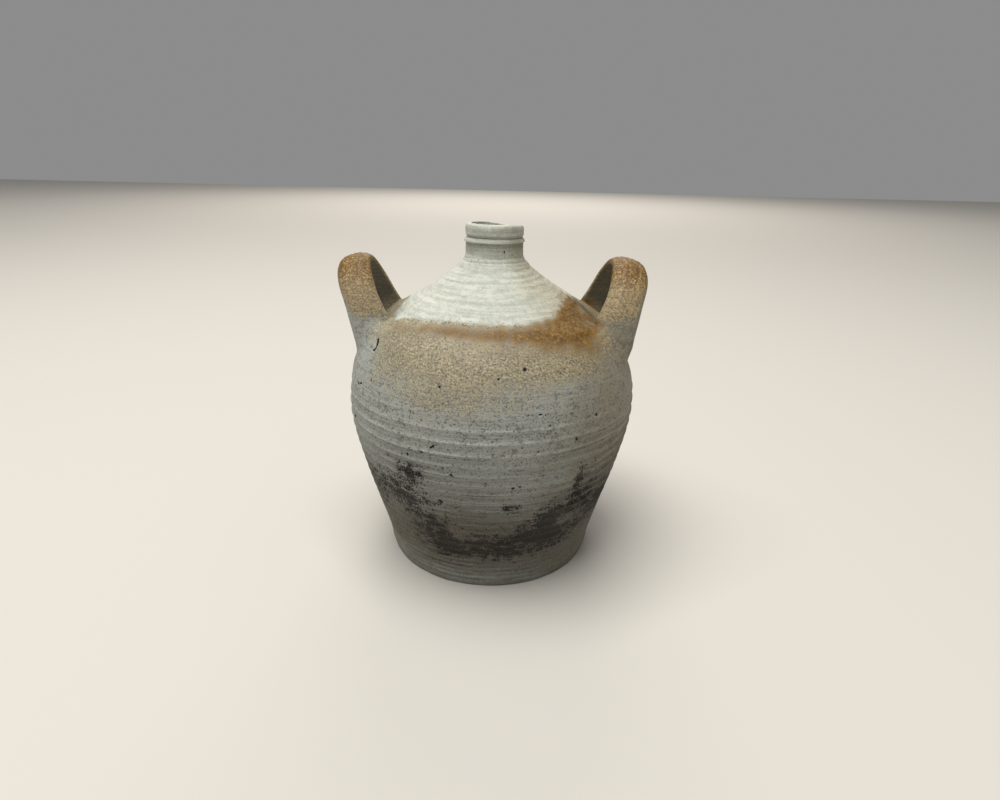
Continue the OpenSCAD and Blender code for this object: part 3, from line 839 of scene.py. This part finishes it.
def wall_normal(points):
    """Unit normals of the jug's outline at points near it, from the outline's slope at their height."""
    step = np.gradient(outline, axis=0)
    across = np.interp(points[..., 2], outline[:, 1], step[:, 1] / np.linalg.norm(step, axis=1))
    upward = np.interp(points[..., 2], outline[:, 1], -step[:, 0] / np.linalg.norm(step, axis=1))
    radius = np.hypot(points[..., 0], points[..., 1])[..., None]
    flat = points[..., :2] / np.maximum(radius, 1e-6) * across[..., None]
    normal = np.concatenate([flat, upward[..., None]], axis=-1)
    return normal / np.linalg.norm(normal, axis=-1, keepdims=True)


def wall_gap(points):
    """Distance of points outside the pressed wall, along its normal, negative inside it."""
    radius = np.hypot(points[..., 0], points[..., 1])
    angle = np.degrees(np.arctan2(points[..., 0], -points[..., 1]))
    level = np.hypot(*np.moveaxis(wall_normal(points)[..., :2], -1, 0))
    proud = radius - np.interp(points[..., 2], outline[:, 1], outline[:, 0])
    return proud * level + pressed(angle, points[..., 2])


def sampled(rows, index):
    """Values of a stack of rows at fractional row numbers, one for each column, in straight lines."""
    low = np.clip(np.floor(index).astype(int), 0, len(rows) - 2)
    part = (index - low)[..., None]
    a = np.take_along_axis(rows, low[..., None], axis=0)
    b = np.take_along_axis(rows, low[..., None] + 1, axis=0)
    return a * (1 - part) + b * part


def root_rows(rows, hit, back_off, reach, direction):
    """The smear at one end of a strap: a quadratic curve for each column, from a point up the strap
    through the point where it meets the wall to a point that lies out along the wall, and then one
    more row sunk under the wall's skin. Also returns the row numbers where the curves begin."""
    begin = hit + direction * back_off
    p0, p1 = sampled(rows, begin), sampled(rows, hit)
    along = sampled(rows, hit + direction * 4) - p1
    round_ = np.roll(p1, -1, axis=1) - np.roll(p1, 1, axis=1)
    face = np.cross(round_, along) * direction
    face = face / np.linalg.norm(face, axis=-1, keepdims=True)
    n = wall_normal(p1)
    flow = face - (face * n).sum(-1, keepdims=True) * n
    flow = flow / np.linalg.norm(flow, axis=-1, keepdims=True)
    p2 = p1 + flow * reach[..., None]
    for _ in range(4):
        p2 = p2 - wall_normal(p2) * (wall_gap(p2)[..., None] + 0.12)
    u = np.linspace(0, 1, SMEAR_ROWS + 1)[1:, None, None]
    curve = (1 - u) ** 2 * p0 + 2 * u * (1 - u) * p1 + u * u * p2
    sunk = p2 + 1.5 * flow - 1.6 * wall_normal(p2)
    return begin, np.concatenate([curve, sunk])


def pulled_ear(side, span, rise, drop, outside, lean, width, climb, reach):
    """Rows of points over one ear, from its front root to its back root. The strap is a squarish
    oval carried along a squarish arch that leans outwards, and its ends go over into the shoulder
    by root_rows. Also returns the height of the arch's foot and its rise, how far each point is on
    the inner face, and how far it looks towards the neck."""
    tilt = math.radians(lean)
    up = np.array([side * math.sin(tilt), 0, math.cos(tilt)])
    out = np.array([side * math.cos(tilt), 0, -math.sin(tilt)])
    half_span = (span - STRAP_T) / 2
    arch_h = (rise + drop) / math.cos(tilt) - STRAP_T / 2
    leg = (CREASE_Z - drop - BELLY_Z) / math.cos(tilt)
    origin = np.array([side * (CREASE_R + outside), 0, CREASE_Z - drop]) + width / 2 * out
    arch_y, arch_z = squarish(np.linspace(np.pi, 0, 700), half_span, arch_h, ARCH_POWER)
    down = np.linspace(-leg, 0, 200)[:-1]
    path_y = np.concatenate([np.full(len(down), -half_span), arch_y, np.full(len(down), half_span)])
    path_z = np.concatenate([down, arch_z, down[::-1]])
    steps = np.hypot(np.diff(path_y), np.diff(path_z))
    length = np.append(0, np.cumsum(steps))
    even = np.linspace(0, length[-1], 1600)
    path_y, path_z = np.interp(even, length, path_y), np.interp(even, length, path_z)
    ty, tz = np.gradient(path_y), np.gradient(path_z)
    size = np.hypot(ty, tz)
    ty, tz = ty / size, tz / size
    low = np.clip(1 - path_z / (SPREAD_REACH * arch_h), 0, 1)
    swell = (ROOT_SPREAD * low * low)[:, None]
    turn = -side * np.linspace(-np.pi, np.pi, EAR_COLUMNS, endpoint=False)
    wide, thick = width / 2 * (1 + swell), STRAP_T / 2 * (1 + swell / 2)
    across, outer = squarish(turn[None, :], wide, thick, SECTION_POWER)
    share = (even / even[-1])[:, None]
    across_share = across / wide
    top_face = between(outer / thick, -0.2, 0.9)
    groove = 0.7 * np.exp(-((across_share - 0.1) / 0.5) ** 2) * top_face
    edge_wave = 0.25 * np.sin(31 * share + 2.2 * across_share) + 0.2 * np.sin(73 * share + turn)
    ripples = 0.16 * np.cos(np.pi * 7 * across_share) * top_face
    crown = CROWN * (1 - across_share ** 2) * (1 + CROWN_BIAS * across_share)
    crown = crown * np.where(outer < 0, INNER_SHARE, 1.0)
    outer = outer + crown - groove - ripples - 0.2 * (1 + edge_wave) * outer / thick
    across = across * (1 - 0.012 * (1 + np.sin(23 * share + 1.0)) - 0.008 * (1 + np.sin(57 * share)))
    rows = (origin + across[..., None] * out
            + (path_y[:, None] - outer * tz[:, None])[..., None] * np.array([0, 1, 0])
            + (path_z[:, None] + outer * ty[:, None])[..., None] * up)
    gap = wall_gap(rows)
    middle = len(rows) // 2
    inside_front = gap[middle::-1] < 0
    inside_back = gap[middle:] < 0
    front = middle - np.argmax(inside_front, axis=0)
    back = middle + np.argmax(inside_back, axis=0)
    columns = np.arange(EAR_COLUMNS)
    front = front + gap[front, columns] / (gap[front, columns] - gap[front + 1, columns])
    back = back - gap[back, columns] / (gap[back, columns] - gap[back - 1, columns])
    degrees = np.degrees(turn) % 360
    up_strap = np.interp(degrees, SMEAR_TURNS, climb, period=360)[None, :]
    over_wall = np.interp(degrees, SMEAR_TURNS, reach, period=360)[None, :]
    rows_up = up_strap * (len(even) - 1) / even[-1]
    begin, front_rows = root_rows(rows, front[None, :], rows_up, over_wall, 1)
    finish, back_rows = root_rows(rows, back[None, :], rows_up, over_wall, -1)
    mix = np.linspace(0, 1, EAR_ROWS)[:, None]
    strap = sampled(rows, begin * (1 - mix) + finish * mix)
    grid = np.concatenate([front_rows[::-1], strap, back_rows])
    inner = np.broadcast_to(between(-np.sin(turn), 0.1, 0.6), grid.shape[:2])
    neckward = np.broadcast_to(-np.cos(turn), grid.shape[:2])
    return grid, (CREASE_Z - drop, rise + drop), inner, neckward


for name, ear in EAR_SIZES.items():
    node = ear.pop("node")
    ear_grid, (ear_base, ear_rise), inner_face, neckward = pulled_ear(**ear)
    angle = np.degrees(np.arctan2(ear_grid[..., 0], -ear_grid[..., 1]))
    height = ear_grid[..., 2]
    level = (height - ear_base) / ear_rise
    free = between(wall_gap(ear_grid), 1.0, 10.0)
    outer_edge = between(-neckward, 0.55, 0.95)
    marks = firing(angle, height)
    outer_face = 1 - inner_face
    top_flash = 0.42 * between(level + 0.1 * neckward, 0.1, 0.5) + 0.55 * between(level, 0.5, 0.85)
    ashy = between(level - 0.4 * outer_edge, 0.05, 0.35)
    # On the inner face smoke is darker clay, and the other dark mark there is painted shade, since that
    # face looks away from the light
    strap_marks = {"rust": top_flash * outer_face, "pale": 0.1 * outer_face, "khaki": ashy,
                   "smoke": 0.5 * inner_face, "painted_shade": 0.5 * inner_face}
    for mark, value in strap_marks.items():
        marks[mark] = marks[mark] * (1 - free) + free * value
    marks["iron"] = marks["iron"] * (1 - 0.6 * free)
    marks["bloom"] = 0.42 * free * outer_face * ashy * (1 - 0.5 * between(level, 0.6, 0.9))
    made = skin(name, ear_grid, closed=False)
    colour_marks(made, ear_grid, marks)
    made.data.materials.append(stoneware("wood-fired stoneware, flashed strap, " + name, 0.6))
    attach(made, "root")
    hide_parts(node)

# ==== Stage ====
# A plain pale floor, and soft studio light: a wide lamp overhead, a little to the front left, and
# an even pale surround.

stage_mesh = bpy.data.meshes.new("stage_floor")
stage_mesh.from_pydata([(-8, -8, 0), (8, -8, 0), (8, 8, 0), (-8, 8, 0)], [], [(0, 1, 2, 3)])
stage_floor = placed("stage_floor", stage_mesh)
paper = bpy.data.materials.new("matt paper sweep")
paper_tree = cleared(paper)
paper_shader = put(paper_tree, "ShaderNodeBsdfPrincipled", None,
                   {"Base Color": linear("#cfcbc4"), "Roughness": 0.9})
put(paper_tree, "ShaderNodeOutputMaterial", None, {"Surface": paper_shader.outputs[0]})
stage_mesh.materials.append(paper)


def soft_lamp(name, place, target, size, power, hex_colour):
    """A square area lamp at a place in metres, facing a target."""
    lamp = bpy.data.lights.new(name, "AREA")
    lamp.size = size
    lamp.energy = power
    lamp.color = linear(hex_colour)[:3]
    holder = placed(name, lamp)
    holder.location = place
    holder.rotation_mode = "QUATERNION"
    holder.rotation_quaternion = (Vector(target) - Vector(place)).to_track_quat("-Z", "Y")


soft_lamp("overhead", (-0.5, -0.35, 3.0), (0, 0, 0.13), 2.2, 104.0, "#fffdf8")
soft_lamp("backdrop", (0.0, 5.0, 3.0), (0, 4.6, 0), 3.0, 120.0, "#fff8f0")
world = bpy.data.worlds.new("pale surround")
bpy.context.scene.world = world
world_tree = cleared(world)
surround = put(world_tree, "ShaderNodeBackground", None, {"Color": linear("#e3e4e3"), "Strength": 0.34})
put(world_tree, "ShaderNodeOutputWorld", None, {"Surface": surround.outputs[0]})
bpy.context.scene.view_settings.view_transform = "Standard"

# ==== Camera ====
# It stands in front of the jug and above it, looks down at it, and is turned a little on its axis.
# Its place is in metres.

CAMERA_PLACE = (0.00684, -0.4667, 0.3042)
LOOK_DOWN = math.radians(21.29)
ROLL = math.radians(1.32)
forward = Vector((0, math.cos(LOOK_DOWN), -math.sin(LOOK_DOWN)))
upright = Vector((0, math.sin(LOOK_DOWN), math.cos(LOOK_DOWN)))
right = math.cos(ROLL) * Vector((1, 0, 0)) + math.sin(ROLL) * upright
top_way = -math.sin(ROLL) * Vector((1, 0, 0)) + math.cos(ROLL) * upright
camera_data = bpy.data.cameras.new("camera")
camera_data.sensor_width = 36.0
camera_data.lens = 21.6
camera = placed("camera", camera_data)
camera.rotation_mode = "QUATERNION"
camera.rotation_quaternion = Matrix((right, top_way, -forward)).transposed().to_quaternion()
camera.location = CAMERA_PLACE
bpy.context.scene.camera = camera
